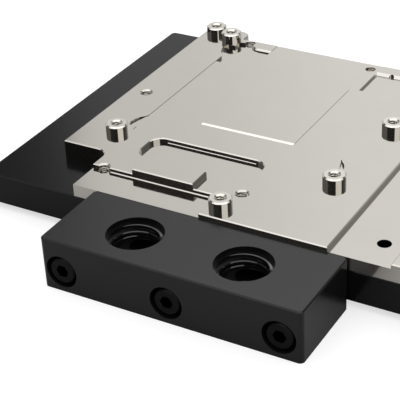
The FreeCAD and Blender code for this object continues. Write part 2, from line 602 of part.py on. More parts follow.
outline = sketch(block, "bolt_pass_outline", "XZ_Plane", BLOCK_DEEP)
for name in ("first", "second", "third"):
    circle(outline, "sizes.bolt_%s" % name + MIDDLE, BOLT_Z, "sizes.bolt_pass")
pocket(block, "bolt_passes", outline, BLOCK_DEEP)
outline = sketch(block, "bolt_mouth_outline", "XZ_Plane", BLOCK_DEEP)
for name in ("first", "second", "third"):
    circle(outline, "sizes.bolt_%s" % name + MIDDLE, BOLT_Z, "sizes.bolt_mouth")
pocket(block, "bolt_counterbores", outline, "sizes.bolt_head_high + sizes.bolt_sink")

# Jet plate: flat strip with one slot, flush with the top of the cover
jet = body("jet_plate", z="sizes.plate_under - sizes.jet_thick")
outline = sketch(jet, "jet_outline", "XY_Plane", "0")
rectangle(outline, "sizes.jet_left + sizes.jet_play", "sizes.jet_right - sizes.jet_play", "-sizes.jet_half + sizes.jet_play", "sizes.jet_half - sizes.jet_play", "sizes.jet_margin")
rectangle(outline, "sizes.jet_left + sizes.jet_margin", "sizes.jet_right - sizes.jet_margin", "-sizes.jet_slot / 2", "sizes.jet_slot / 2")
pad(jet, "jet_sheet", outline, "sizes.jet_thick")


def ring(name, placing, plane, left, right, low, high, corner, width, length):
    """Moulded ring that follows a rounded rectangle, with bevelled edges."""
    made = body(name, **placing)
    outline_ = sketch(made, name + "_outline", plane, "0")
    for sign in (" + ", " - "):
        other = " - " if sign == " + " else " + "
        half = "(%s) / 2" % width
        rectangle(outline_, left + other + half, right + sign + half, low + other + half, high + sign + half, corner + sign + half)
    base = pad(made, name + "_ring", outline_, length)
    long_edges = []
    for index, edge in enumerate(base.Shape.Edges, start=1):
        box = edge.BoundBox
        if plane == "XY_Plane" and box.ZLength < 1e-6:
            long_edges.append("Edge%d" % index)
        if plane == "XZ_Plane" and box.YLength < 1e-6:
            long_edges.append("Edge%d" % index)
    bevelled = made.newObject("PartDesign::Chamfer", name + "_bevel")
    bevelled.Base = (base, long_edges)
    bevelled.setExpression("Size", "sizes.seal_round")
    doc.recompute()
    return made


ring("main_seal", {"z": "sizes.plate_under - sizes.seal_deep"}, "XY_Plane", "sizes.seal_left", "sizes.seal_right",
     "sizes.seal_front", "sizes.seal_back", "sizes.seal_corner", "sizes.seal_wide", "sizes.seal_deep")
MID_GAP = "sizes.ring_gap + sizes.ring_play + sizes.ring_wide / 2"
for name, port in (("port_seal_left", "port_one"), ("port_seal_right", "port_two")):
    placing = {"x": "sizes." + port, "y": "sizes.plate_front", "z": "sizes.lane_mid"}
    ring(name, placing, "XZ_Plane", "-(sizes.lane_wide / 2 + %s)" % MID_GAP, "(sizes.lane_wide / 2 + %s)" % MID_GAP,
         "-(sizes.lane_high / 2 + %s)" % MID_GAP, "(sizes.lane_high / 2 + %s)" % MID_GAP,
         "sizes.lane_corner + " + MID_GAP, "sizes.ring_wide", "sizes.ring_deep")


def socket_screw(name, placing, turn, head_wide, head_high, thread, length, hexagon, hex_deep, edge):
    """Socket head screw, local zero at the face of the head, thread pointing down."""
    made = body(name, turn=turn, **placing)
    foot = "-(%s + %s)" % (head_high, length)
    points = [
        ("0", "0"),
        ("%s / 2 - %s" % (head_wide, edge), "0"),
        ("%s / 2" % head_wide, "-" + edge),
        ("%s / 2" % head_wide, "-" + head_high),
        ("%s / 2" % thread, "-" + head_high),
        ("%s / 2" % thread, foot + " + 0.5"),
        ("%s / 2 - 0.5" % thread, foot),
        ("0", foot),
    ]
    revolve(made, name + "_turned", points)
    hole = made.newObject("PartDesign::SubtractivePrism", name + "_socket")
    hole.Polygon = 6
    hole.setExpression("Circumradius", "%s / sqrt(3)" % hexagon)
    hole.setExpression("Height", hex_deep)
    hole.setExpression("Placement.Base.z", "-" + hex_deep)
    doc.recompute()
    return made


for name, bolt in (("left", "first"), ("middle", "second"), ("right", "third")):
    placing = {"x": "sizes.bolt_" + bolt, "y": "sizes.block_front + sizes.bolt_sink", "z": "sizes.bolt_high"}
    socket_screw("terminal_screw_" + name, placing, 90.0, "sizes.bolt_head_wide", "sizes.bolt_head_high", "sizes.bolt_wide",
                 "sizes.bolt_long", "sizes.bolt_hex", "sizes.bolt_hex_deep", "sizes.bolt_bevel")

FIX_LONG = "(sizes.plate_under - sizes.cover_bottom - sizes.fix_sink - sizes.fix_head_high + sizes.fix_reach)"
for letter in "abcdefghij":
    placing = {"x": "sizes.fixing_%s_x" % letter, "y": "sizes.fixing_%s_y" % letter, "z": "sizes.cover_bottom + sizes.fix_sink"}
    socket_screw("cover_screw_" + letter, placing, 180.0, "sizes.fix_head_wide", "sizes.fix_head_high", "sizes.fix_wide",
                 FIX_LONG, "sizes.fix_hex", "sizes.fix_hex_deep", "sizes.fix_bevel")


def standoff(name, x, y):
    """Threaded standoff with a pressed spigot, local zero at its seat."""
    made = body(name, x=x, y=y, z="sizes.main_top")
    core = "sizes.tap_wide / 2"
    mouth = "sizes.post_mouth / 2"
    points = [
        (core, "-sizes.spigot_deep"),
        ("sizes.spigot_wide / 2", "-sizes.spigot_deep"),
        ("sizes.spigot_wide / 2", "0"),
        ("sizes.post_wide / 2", "0"),
        ("sizes.post_wide / 2", "sizes.post_high - sizes.post_bevel"),
        ("sizes.post_wide / 2 - sizes.post_bevel", "sizes.post_high"),
        (mouth, "sizes.post_high"),
        (core, "sizes.post_high - (%s - %s)" % (mouth, core)),
    ]
    revolve(made, name + "_turned", points)
    return made


for name, x, y in (("front_left", "-", "-"), ("front_right", "", "-"), ("back_left", "-", ""), ("back_right", "", "")):
    standoff("standoff_" + name, x + "sizes.board_half", y + "sizes.board_half")
for name, x, y in POSTS:
    standoff("standoff_" + name, "sizes.post_%s_x" % name, "sizes.post_%s_y" % name)

# Check and write one file for each piece
doc.recompute()
os.makedirs("parts", exist_ok=True)
for item in doc.Objects:
    if "Invalid" in item.State or "Error" in item.State:
        raise RuntimeError("%s is not valid: %s" % (item.Name, item.State))
for item in doc.Objects:
    if item.TypeId != "PartDesign::Body":
        continue
    shape = item.Shape
    if shape.isNull() or not shape.isValid() or len(shape.Solids) != 1:
        raise RuntimeError("%s has no single valid solid" % item.Name)
    shape.exportStep("parts/%s.step" % item.Name)
    box = shape.BoundBox
    values = (box.XMin, box.XMax, box.YMin, box.YMax, box.ZMin, box.ZMax)
    print(item.Name, " ".join("%.3f" % value for value in values), "%.1f" % shape.Volume)
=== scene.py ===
import math

import bmesh
import bpy
from mathutils import Matrix, Vector


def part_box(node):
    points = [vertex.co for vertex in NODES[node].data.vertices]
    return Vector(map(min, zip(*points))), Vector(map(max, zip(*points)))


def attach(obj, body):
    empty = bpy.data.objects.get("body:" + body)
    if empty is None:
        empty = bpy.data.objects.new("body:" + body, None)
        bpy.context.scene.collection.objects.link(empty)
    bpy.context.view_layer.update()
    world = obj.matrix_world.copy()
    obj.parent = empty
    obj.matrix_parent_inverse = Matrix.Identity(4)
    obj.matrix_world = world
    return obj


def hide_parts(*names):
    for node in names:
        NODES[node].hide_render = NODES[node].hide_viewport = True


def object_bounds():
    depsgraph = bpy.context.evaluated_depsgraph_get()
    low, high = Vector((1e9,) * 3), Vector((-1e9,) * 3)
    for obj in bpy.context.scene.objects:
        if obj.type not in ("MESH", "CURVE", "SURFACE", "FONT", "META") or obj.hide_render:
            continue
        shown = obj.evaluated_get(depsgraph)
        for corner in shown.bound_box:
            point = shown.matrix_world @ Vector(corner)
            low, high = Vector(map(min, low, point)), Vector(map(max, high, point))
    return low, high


bl_info = {
    "name": "Liquid Cooling Cold Plate Look",
    "version": (1, 0, 0),
    "blender": (4, 5, 0),
    "location": "View3D > Sidebar > Cold Plate",
    "description": "Materials, threads and studio for a machined liquid cooling cold plate",
    "category": "Object",
}

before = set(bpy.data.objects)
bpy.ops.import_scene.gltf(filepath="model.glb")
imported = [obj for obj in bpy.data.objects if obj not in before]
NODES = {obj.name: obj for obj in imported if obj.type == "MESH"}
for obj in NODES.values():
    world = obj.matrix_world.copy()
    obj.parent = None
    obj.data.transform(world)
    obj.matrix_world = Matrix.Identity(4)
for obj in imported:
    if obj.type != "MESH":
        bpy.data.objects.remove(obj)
cad_low, cad_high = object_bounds()
MM = 0.001

STANDOFFS = sorted(name for name in NODES if name.startswith("standoff_"))
SCREWS = sorted(name for name in NODES if "_screw_" in name)
SEALS = sorted(name for name in NODES if "_seal" in name)

# Sizes and places of shapes are in millimetres in the part's frame, those of the stage in metres

# Degrees between the points of round outlines
ARC_STEP = 3.75

# Heights from the solid's die face: main surface, floor of the recess, floor of the corner pockets,
# underside of the layer that is milled anew, floor of the trench and of the component pocket, and top of
# the cutters
MAIN = -0.35
RECESS = -0.45
POCKET = -1.15
DECK = -1.5
TRENCH = -1.6
ABOVE = 3.0

# How far cutters run past an edge, and how far joined solids reach into each other
OVER = 1.0
LAP = 0.1

# Milled field: half width of its middle stretch and between the standoff seats, front, both ends of the
# middle stretch, and back edge of the plate
FIELD_WIDE = 31.9
FIELD_NARROW = 28.6
FIELD_FRONT = -29.9
WIDE_FRONT = -27.8
WIDE_BACK = 28.0
PLATE_BACK = 33.0

# Recess: half width, front and back; left, right and front of the cut for its mouth through the back edge
RECESS_SIDE = 28.9
RECESS_FRONT = -29.6
RECESS_BACK = 25.0
MOUTH_LEFT = -17.0
MOUTH_RIGHT = 16.9
MOUTH_FRONT = 10.0

# Die pad: left, right, front and back, and the slope of its front, with run and height of the foot
DIE = (-13.3, 14.3, -19.4, 15.4)
RAMP_RUN = 0.95
RAMP_FOOT = RECESS + 0.01

# Front corner reliefs, right side: middle and radius of both arcs, directions in degrees of the ends of the
# first one, outer edge of the sliver pocket, and outer edge and inner side of the rest of the relief
RELIEF_ARC = (26.4, -25.9, 5.0)
FRONT_TURN = (31.9, -20.09, 3.0)
RELIEF_LOW = -36.87
RELIEF_HIGH = 46.57
SLIVER_EDGE = [(RECESS_SIDE, -21.0), (29.6, -23.4), (30.4, -26.5)]
RELIEF_EDGE = [(27.0, -21.5), (29.1, -21.5), (29.8, -23.6), (30.6, -26.5), (30.5, -28.6), (30.2, -29.05)]
RELIEF_INSIDE = 27.0

# Back left pocket: its front, the front of the pad, middle and radius of the arcs round the pad, the
# standoff and the side, and directions in degrees in which the first two end
BAY_FRONT = 16.5
LEFT_PAD_FRONT = 28.6
PAD_ARC = (-21.2, 32.0, 3.4)
SEAT_ARC = (-26.0, 25.7, 5.4)
BACK_TURN = (-31.9, 19.72, 3.0)
PAD_END = 195.35
SEAT_END = 225.4

# Back right pocket: front and right end of the pad, right side of the pocket and where it turns in, and
# middle and radius of the round nick in the front of the pad
RIGHT_PAD_FRONT = 28.3
RIGHT_PAD_END = 28.6
BAY_RIGHT = 31.4
BAY_TURN = 26.0
PAD_NICK = (21.6, 28.4, 0.75)

# Slopes at the front of the pads: height of the foot and size of each, how far their cutters start before
# the pad, and direction in degrees in which the left one ends on its arc
LEFT_SLOPE = (-0.85, 0.5)
RIGHT_SLOPE = (-1.1, 0.75)
SLOPE_LEAD = 0.4
LEFT_SLOPE_END = 200

# Slopes that the cutter left at the foot of walls: both ends, way into the wall, height of the foot and size
WALL_FEET = {
    "trench": ((-22.6, -49.8), (8.5, -49.8), (0, 1), TRENCH, 0.2),
    "component_pocket": ((-17.2, -30.3), (9.2, -30.3), (0, 1), TRENCH, 0.12),
    "island": ((1.8, -49.7), (1.8, -43.0), (-1, 0), MAIN, 0.12),
}

# Threaded holes of the base plate: middle in X and Y, lower and upper end of the thread
PLATE_THREADS = {
    "front_left": (-24.6, -49.9, -3.6, -1.3),
    "front_mid": (13.9, -46.5, -3.6, -0.9),
    "left_mid": (-36.8, -9.4, -3.6, -0.9),
    "back_mid": (14.5, 30.0, -3.6, -0.9),
    "back_left": (-25.3, 31.5, -3.6, -0.9),
}

# Radius of these holes and of their mouths, narrower near the back edge; how far a bore goes below its
# thread, and how far the cutter of a mouth goes above the plate
BORE = 1.46
HOLE_MOUTH = 1.65
BACK_HOLE_MOUTH = 1.58
BELOW_THREAD = 0.2
HOLE_MOUTH_RISE = 0.5

# Ports of the terminal block: middle in X for each, middle in Y, and ends of both stretches of thread
PORTS = {"left": -1.4, "right": 27.9}
PORT_Y = -71.75
PORT_STRETCHES = {"upper": (-7.55, -2.95), "lower": (-14.05, -10.85)}

# Thread in a standoff: how far above its foot it starts and how far below its top it ends
THREAD_FROM_FOOT = 1.6
THREAD_TO_TOP = 0.4

# Section of a thread ridge: outward as a share of its height, and upward as a share of the pitch
RIDGE = [(0.02, -0.47), (-0.8, -0.38), (-1.0, -0.22), (-1.0, 0.22), (-0.8, 0.38), (0.02, 0.47)]

# Steps in a turn of a ridge, and turns over which it grows from nothing at its ends
PORT_STEPS = 96
SMALL_STEPS = 32
FADE = 0.4

# Edges are sharp from these angles in degrees; faces this square to an axis are shaded flat
RIDGE_SHARP = 20
PLATE_SHARP = 25
SQUARE = 0.99

# Points of the copied and of the milled mesh are joined within these distances
COPY_WELD = 0.0001
PLATE_WELD = 0.002

# Floor: half its size, how far it lies below the part, and its own light as the camera sees it
FLOOR_REACH = 3.0
FLOOR_GAP = 0.02 * MM
FLOOR_GLOW = 0.65

# Studio dome: one grey low down, then three rings and white at the top. A turn brings the camera's side to 0
# degrees. Each ring has (direction, grey) stops, in degrees counter-clockwise from there, seen from above.
# Each edge has the two heights between which a ring takes over from what is below, as sines of elevation.
DOME_TURN = 58.5
LOW_GREY = 0.6
PANELS = [
    (-180, 0.81), (-175.5, 0.77), (-174.2, 0.68), (-173.2, 0.3), (-171, 0.13), (-78, 0.16),
    (-70, 0.03), (5, 0.02), (8, 1.1), (62, 1.1), (67, 0.03), (105, 0.12),
    (117, 0.2), (140, 0.7), (160, 1.05), (173, 0.95), (180, 0.81),
]
RIM = [(-180, 1.8), (-165, 1.8), (-158, 1.0), (158, 1.0), (165, 1.8), (180, 1.8)]
CANOPY = [(-180, 1.0), (-120, 1.0), (-95, 1.4), (75, 1.4), (100, 1.0), (180, 1.0)]
PANELS_EDGE = (0.32, 0.37)
RIM_EDGE = (0.575, 0.60)
CANOPY_EDGE = (0.68, 0.74)
TOP_EDGE = (0.93, 0.97)

# Overhead lamp: its place, from which it shines at the origin, and its size
LAMP_PLACE = (-0.1, -0.1, 0.7)
LAMP_SIZE = (0.6, 0.5)

# Camera: its right, up and back directions, its place, its sensor in millimetres and its clipping
CAMERA_RIGHT = (0.8665, 0.497, -0.0475)
CAMERA_UP = (-0.224, 0.472, 0.8527)
CAMERA_BACK = (0.4462, -0.7282, 0.5203)
CAMERA_PLACE = (0.15265, -0.2929, 0.17066)
SENSOR = 36.0
CLIP = (0.01, 20.0)


def linear(hex_value):
    """sRGB hex colour as linear red, green, blue and alpha."""
    parts = [int(hex_value[i : i + 2], 16) / 255 for i in (1, 3, 5)]
    return [part / 12.92 if part <= 0.04045 else ((part + 0.055) / 1.055) ** 2.4 for part in parts] + [1.0]


def add_node(tree, kind, settings=None, links=None):
    """One shader node with its settings, socket values and incoming links."""
    node = tree.nodes.new(kind)
    for key, value in (settings or {}).items():
        if isinstance(key, str) and hasattr(node, key):
            setattr(node, key, value)
        else:
            node.inputs[key].default_value = value
    for key, source in (links or {}).items():
        tree.links.new(source, node.inputs[key])
    return node


def new_material(name):
    """Empty node material with its Principled shader and object coordinates."""
    material = bpy.data.materials.new(name)
    material.use_nodes = True
    tree = material.node_tree
    shader = tree.nodes["Principled BSDF"]
    place = add_node(tree, "ShaderNodeTexCoord").outputs["Object"]
    return material, tree, shader, place


def dress(name, material):
    """Give all faces of a carried-over piece one material."""
    data = NODES[name].data
    data.materials.clear()
    data.materials.append(material)
    for face in data.polygons:
        face.material_index = 0


def grain_scale(count, span):
    """Scale of a noise with so many grains in a span of millimetres."""
    return count / (span * MM)


def band_scale(radian):
    """Scale of a wave texture whose bands lie 2 pi times the given millimetres apart.

    The texture turns by 20 radians in each unit of its own coordinate.
    """
    return 1 / (radian * MM) / 20


def vary_colour(tree, shader, pattern, colour, shift):
    """Let the base colour go with a pattern from a colour to the same one times a shift."""
    tone = add_node(tree, "ShaderNodeMix", {"data_type": "RGBA"}, {0: pattern})
    tone.inputs[6].default_value = linear(colour)
    tone.inputs[7].default_value = [min(1.0, part * shift) for part in linear(colour)[:3]] + [1.0]
    tree.links.new(tone.outputs[2], shader.inputs["Base Color"])


def vary_roughness(tree, shader, pattern, low, high):
    """Let the roughness go with a pattern from low to high."""
    rough = add_node(tree, "ShaderNodeMapRange", {"To Min": low, "To Max": high}, {"Value": pattern})
    tree.links.new(rough.outputs["Result"], shader.inputs["Roughness"])


def plated_nickel(name, colour, rough_low, rough_high, mark_depth):
    """Electroless nickel over milled copper: a warm grey mirror, slightly cloudy, with faint tool marks."""
    material, tree, shader, place = new_material(name)
    shader.inputs["Metallic"].default_value = 1.0
    # Clouds, 9 in 100 mm, and grain, 42 in 100 mm
    cloud = add_node(
        tree, "ShaderNodeTexNoise", {"Scale": grain_scale(9, 100), "Detail": 3.0}, {"Vector": place}
    )
    vary_colour(tree, shader, cloud.outputs["Fac"], colour, shift=1.05)
    grain = add_node(
        tree, "ShaderNodeTexNoise", {"Scale": grain_scale(42, 100), "Detail": 4.0}, {"Vector": place}
    )
    vary_roughness(tree, shader, grain.outputs["Fac"], rough_low, rough_high)
    # Cutter marks 2.5 mm apart, drawn coarser than the real 0.1 mm so that they can show
    marks = add_node(
        tree,
        "ShaderNodeTexWave",
        {
            "wave_type": "BANDS",
            "bands_direction": "X",
            "Scale": band_scale(0.4),
            "Distortion": 2.0,
            "Detail": 2.0,
        },
        {"Vector": place},
    )
    bump = add_node(
        tree,
        "ShaderNodeBump",
        {"Strength": mark_depth, "Distance": 0.002 * MM},
        {"Height": marks.outputs["Fac"]},
    )
    tree.links.new(bump.outputs["Normal"], shader.inputs["Normal"])
    return material


def machined_acetal(name, colour, roughness, gloss, direction):
    """Black acetal, face milled: satin, with fine parallel tool lines that catch the light."""
    material, tree, shader, place = new_material(name)
    shader.inputs["IOR"].default_value = 1.48
    shader.inputs["Specular IOR Level"].default_value = gloss
    # Specks, 12 in 10 mm
    speck = add_node(
        tree, "ShaderNodeTexNoise", {"Scale": grain_scale(12, 10), "Detail": 3.0}, {"Vector": place}
    )
    vary_colour(tree, shader, speck.outputs["Fac"], colour, shift=1.35)
    vary_roughness(tree, shader, speck.outputs["Fac"], roughness - 0.05, roughness + 0.07)
    # Tool lines 1.6 mm apart, drawn coarser than the real 0.1 mm so that they can show
    lines = add_node(
        tree,
        "ShaderNodeTexWave",
        {
            "wave_type": "BANDS",
            "bands_direction": direction,
            "Scale": band_scale(0.25),
            "Distortion": 0.6,
            "Detail": 1.0,
        },
        {"Vector": place},
    )
    mixed = add_node(
        tree,
        "ShaderNodeMath",
        {"operation": "ADD"},
        {0: lines.outputs["Fac"], 1: speck.outputs["Fac"]},
    )
    bump = add_node(
        tree,
        "ShaderNodeBump",
        {"Strength": 0.25, "Distance": 0.01 * MM},
        {"Height": mixed.outputs["Value"]},
    )
    tree.links.new(bump.outputs["Normal"], shader.inputs["Normal"])
    return material


def black_oxide(name, colour):
    """Black oxide on cold headed steel: near black, satin, with a slightly worn grain."""
    material, tree, shader, place = new_material(name)
    shader.inputs["Metallic"].default_value = 1.0
    # Grain, 9 in 10 mm
    grain = add_node(
        tree, "ShaderNodeTexNoise", {"Scale": grain_scale(9, 10), "Detail": 4.0}, {"Vector": place}
    )
    vary_colour(tree, shader, grain.outputs["Fac"], colour, shift=2.0)
    vary_roughness(tree, shader, grain.outputs["Fac"], low=0.28, high=0.42)
    return material


def moulded_rubber(name, colour):
    """Moulded black rubber: matt, with a fine skin."""
    material, tree, shader, place = new_material(name)
    shader.inputs["IOR"].default_value = 1.52
    # Skin, 15 grains in 10 mm
    skin = add_node(
        tree, "ShaderNodeTexNoise", {"Scale": grain_scale(15, 10), "Detail": 2.0}, {"Vector": place}
    )
    vary_colour(tree, shader, skin.outputs["Fac"], colour, shift=1.5)
    vary_roughness(tree, shader, skin.outputs["Fac"], low=0.6, high=0.8)
    return material


def rolled_steel(name, colour):
    """Rolled stainless sheet: light grey with rolling lines along its length."""
    material, tree, shader, place = new_material(name)
    shader.inputs["Metallic"].default_value = 1.0
    # Rolling lines 1.9 mm apart, drawn coarser than the real ones so that they can show
    lines = add_node(
        tree,
        "ShaderNodeTexWave",
        {
            "wave_type": "BANDS",
            "bands_direction": "Y",
            "Scale": band_scale(0.3),
            "Distortion": 3.0,
            "Detail": 3.0,
        },
        {"Vector": place},
    )
    vary_colour(tree, shader, lines.outputs["Fac"], colour, shift=0.85)
    vary_roughness(tree, shader, lines.outputs["Fac"], low=0.25, high=0.4)
    return material


def arc(x, y, radius, start, end):
    """Points of an arc between two angles in degrees."""
    count = max(2, round(abs(end - start) / ARC_STEP))
    turns = [math.radians(start + (end - start) * step / count) for step in range(count + 1)]
    return [(x + radius * math.cos(turn), y + radius * math.sin(turn)) for turn in turns]


def circle(x, y, radius):
    """Points of a circle."""
    return arc(x, y, radius, 0, 360 - ARC_STEP)


def box_outline(left, right, front, back):
    """Corners of a rectangle."""
    return [(left, front), (right, front), (right, back), (left, back)]


def solid(points, faces):
    """Loose object from points in millimetres, with its faces turned outward."""
    mesh = bpy.data.meshes.new("cut")
    mesh.from_pydata([(x * MM, y * MM, z * MM) for x, y, z in points], [], faces)
    form = bmesh.new()
    form.from_mesh(mesh)
    bmesh.ops.recalc_face_normals(form, faces=form.faces)
    form.to_mesh(mesh)
    form.free()
    made = bpy.data.objects.new("cut", mesh)
    bpy.context.scene.collection.objects.link(made)
    return made


def prism(outline, low, high):
    """Upright solid over an outline."""
    count = len(outline)
    points = [(x, y, low) for x, y in outline] + [(x, y, high) for x, y in outline]
    faces = [tuple(reversed(range(count))), tuple(range(count, 2 * count))]
    for step in range(count):
        after = (step + 1) % count
        faces.append((step, after, count + after, count + step))
    return solid(points, faces)


def turned(x, y, rings):
    """Upright round solid through (radius, height) rings."""
    points = []
    for radius, height in rings:
        points += [(around_x, around_y, height) for around_x, around_y in circle(x, y, radius)]
    count = len(points) // len(rings)
    faces = [tuple(reversed(range(count))), tuple(range(len(points) - count, len(points)))]
    for step in range(len(points) - count):
        after = step + 1 if (step + 1) % count else step + 1 - count
        faces.append((step, after, after + count, step + count))
    return solid(points, faces)


def strip_faces(steps, width):
    """Faces of a closed section carried through a number of steps, and of its two ends."""
    faces = [tuple(range(width)), tuple(reversed(range(steps * width, (steps + 1) * width)))]
    for step in range(steps):
        for corner in range(width):
            here = step * width + corner
            beside = step * width + (corner + 1) % width
            faces.append((here, here + width, beside + width, beside))
    return faces


def swept(line, inward, section):
    """Solid with one section of (inward, height) points carried along a line of points."""
    points = []
    for (x, y), (way_x, way_y) in zip(line, inward):
        points += [(x + way_x * into, y + way_y * into, height) for into, height in section]
    return solid(points, strip_faces(len(line) - 1, len(section)))


def slope(line, inward, foot, size):
    """Cutter for a slope along a line of points: each moves inward by size as it rises by size."""
    section = [(-SLOPE_LEAD, foot), (0.0, foot), (size, foot + size), (size, ABOVE), (-SLOPE_LEAD, ABOVE)]
    return swept(line, inward, section)


def weld(mesh, reach):
    """Join the points of a mesh that lie within a small reach of each other."""
    form = bmesh.new()
    form.from_mesh(mesh)
    bmesh.ops.remove_doubles(form, verts=form.verts, dist=reach)
    form.to_mesh(mesh)
    form.free()


def combine(made, other, operation):
    """Join or cut an object with another one, and use the other one up."""
    change = made.modifiers.new("combine", "BOOLEAN")
    change.operation = operation
    change.solver = "EXACT"
    change.object = other
    shown = made.evaluated_get(bpy.context.evaluated_depsgraph_get())
    mesh = bpy.data.meshes.new_from_object(shown)
    made.modifiers.clear()
    old = made.data
    made.data = mesh
    bpy.data.meshes.remove(old)
    bpy.data.objects.remove(other)
    if not mesh.polygons:
        raise RuntimeError("nothing is left after a %s" % operation)


def thread_ridge(name, middle, thread, ends, steps, material):
    """One helical ridge with a flat crest between two small slopes, standing inward from the wall of a bore.

    The thread is its wall radius, ridge height and pitch in metres, and the ends are heights in millimetres.
    """
    wall, depth, pitch = [length / MM for length in thread]
    low, high = ends
    turns = (high - low) / pitch - 1.0
    count = max(steps, int(turns * steps))
    points = []
    for step in range(count + 1):
        part = step / count
        angle = 2 * math.pi * turns * part
        height = low + pitch / 2 + pitch * turns * part
        ease = min(1.0, part * turns / FADE, (1 - part) * turns / FADE)
        for outward, upward in RIDGE:
            radius = wall + outward * depth * (ease if outward < 0 else 1.0)
            x = middle[0] + radius * math.cos(angle)
            y = middle[1] + radius * math.sin(angle)
            points.append((x * MM, y * MM, (height + upward * pitch) * MM))
    mesh = bpy.data.meshes.new(name)
    mesh.from_pydata(points, [], strip_faces(count, len(RIDGE)))
    mesh.validate()
    mesh.set_sharp_from_angle(angle=math.radians(RIDGE_SHARP))
    mesh.materials.append(material)
    ridge = bpy.data.objects.new(name, mesh)
    bpy.context.scene.collection.objects.link(ridge)
    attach(ridge, "root")


def colour_setting(name, description, hex_value):
    """Text property that holds one sRGB hex colour."""
    return bpy.props.StringProperty(name=name, description=description, default=hex_value, maxlen=7)


def rough_setting(name, description, value):
    """Factor property for a roughness."""
    return bpy.props.FloatProperty(
        name=name, description=description, default=value, min=0.0, max=1.0, subtype="FACTOR"
    )


def length_setting(name, description, millimetres):
    """Length property with its default given in millimetres."""
    return bpy.props.FloatProperty(
        name=name, description=description, default=millimetres * MM, unit="LENGTH"
    )


class ColdPlateFinish(bpy.types.PropertyGroup):
    """Colours and gloss of the parts."""

    nickel: colour_setting("Nickel", "Colour of the plated base plate", "#cfcbc4")
    post: colour_setting("Standoff", "Colour of the plated standoffs", "#dedad3")
    acetal: colour_setting("Acetal", "Colour of the cover", "#090909")
    terminal: colour_setting("Terminal", "Colour of the terminal block", "#101010")
    screw: colour_setting("Screw", "Colour of the black screws", "#1a1a1b")
    rubber: colour_setting("Seal", "Colour of the seals", "#161616")
    steel: colour_setting("Jet plate", "Colour of the jet plate", "#b9b8b6")
    nickel_rough: rough_setting("Nickel roughness", "Mean roughness of the plating", 0.07)
    terminal_rough: rough_setting("Terminal roughness", "Mean roughness of the terminal block", 0.2)
    cover_rough: rough_setting("Cover roughness", "Mean roughness of the cover", 0.14)


class ColdPlateThreads(bpy.types.PropertyGroup):
    """Sizes of the cut threads, in metres."""

    port_wall: length_setting("Port radius", "Major radius of the port thread", 6.5785)
    port_pitch: length_setting("Port pitch", "Pitch of the port thread", 1.337)
    port_depth: length_setting("Port ridge", "Height of the port thread ridges", 0.856)
    plate_wall: length_setting("Plate radius", "Wall radius of the M3 holes of the plate", BORE)
    plate_depth: length_setting("Plate ridge", "Height of the thread ridges in the plate", 0.3)
    small_wall: length_setting("Small radius", "Wall radius of the M3 holes of the standoffs", 1.25)
    small_pitch: length_setting("Small pitch", "Pitch of the M3 threads", 0.5)
    small_depth: length_setting("Small ridge", "Height of the thread ridges in the standoffs", 0.2)


class ColdPlateStudio(bpy.types.PropertyGroup):
    """Floor, light and camera."""

    floor: colour_setting("Floor", "Colour of the floor", "#bebebe")
    dome: bpy.props.FloatProperty(
        name="Dome", description="Strength of the studio dome", default=1.0, min=0.0, max=5.0
    )
    key: bpy.props.FloatProperty(
        name="Key light",
        description="Power of the overhead lamp in watts",
        default=0.3,
        min=0.0,
        max=100.0,
        unit="POWER",
    )
    lens: bpy.props.FloatProperty(
        name="Lens",
        description="Focal length of the camera in millimetres",
        default=121.1,
        min=20.0,
        max=300.0,
        unit="CAMERA",
    )


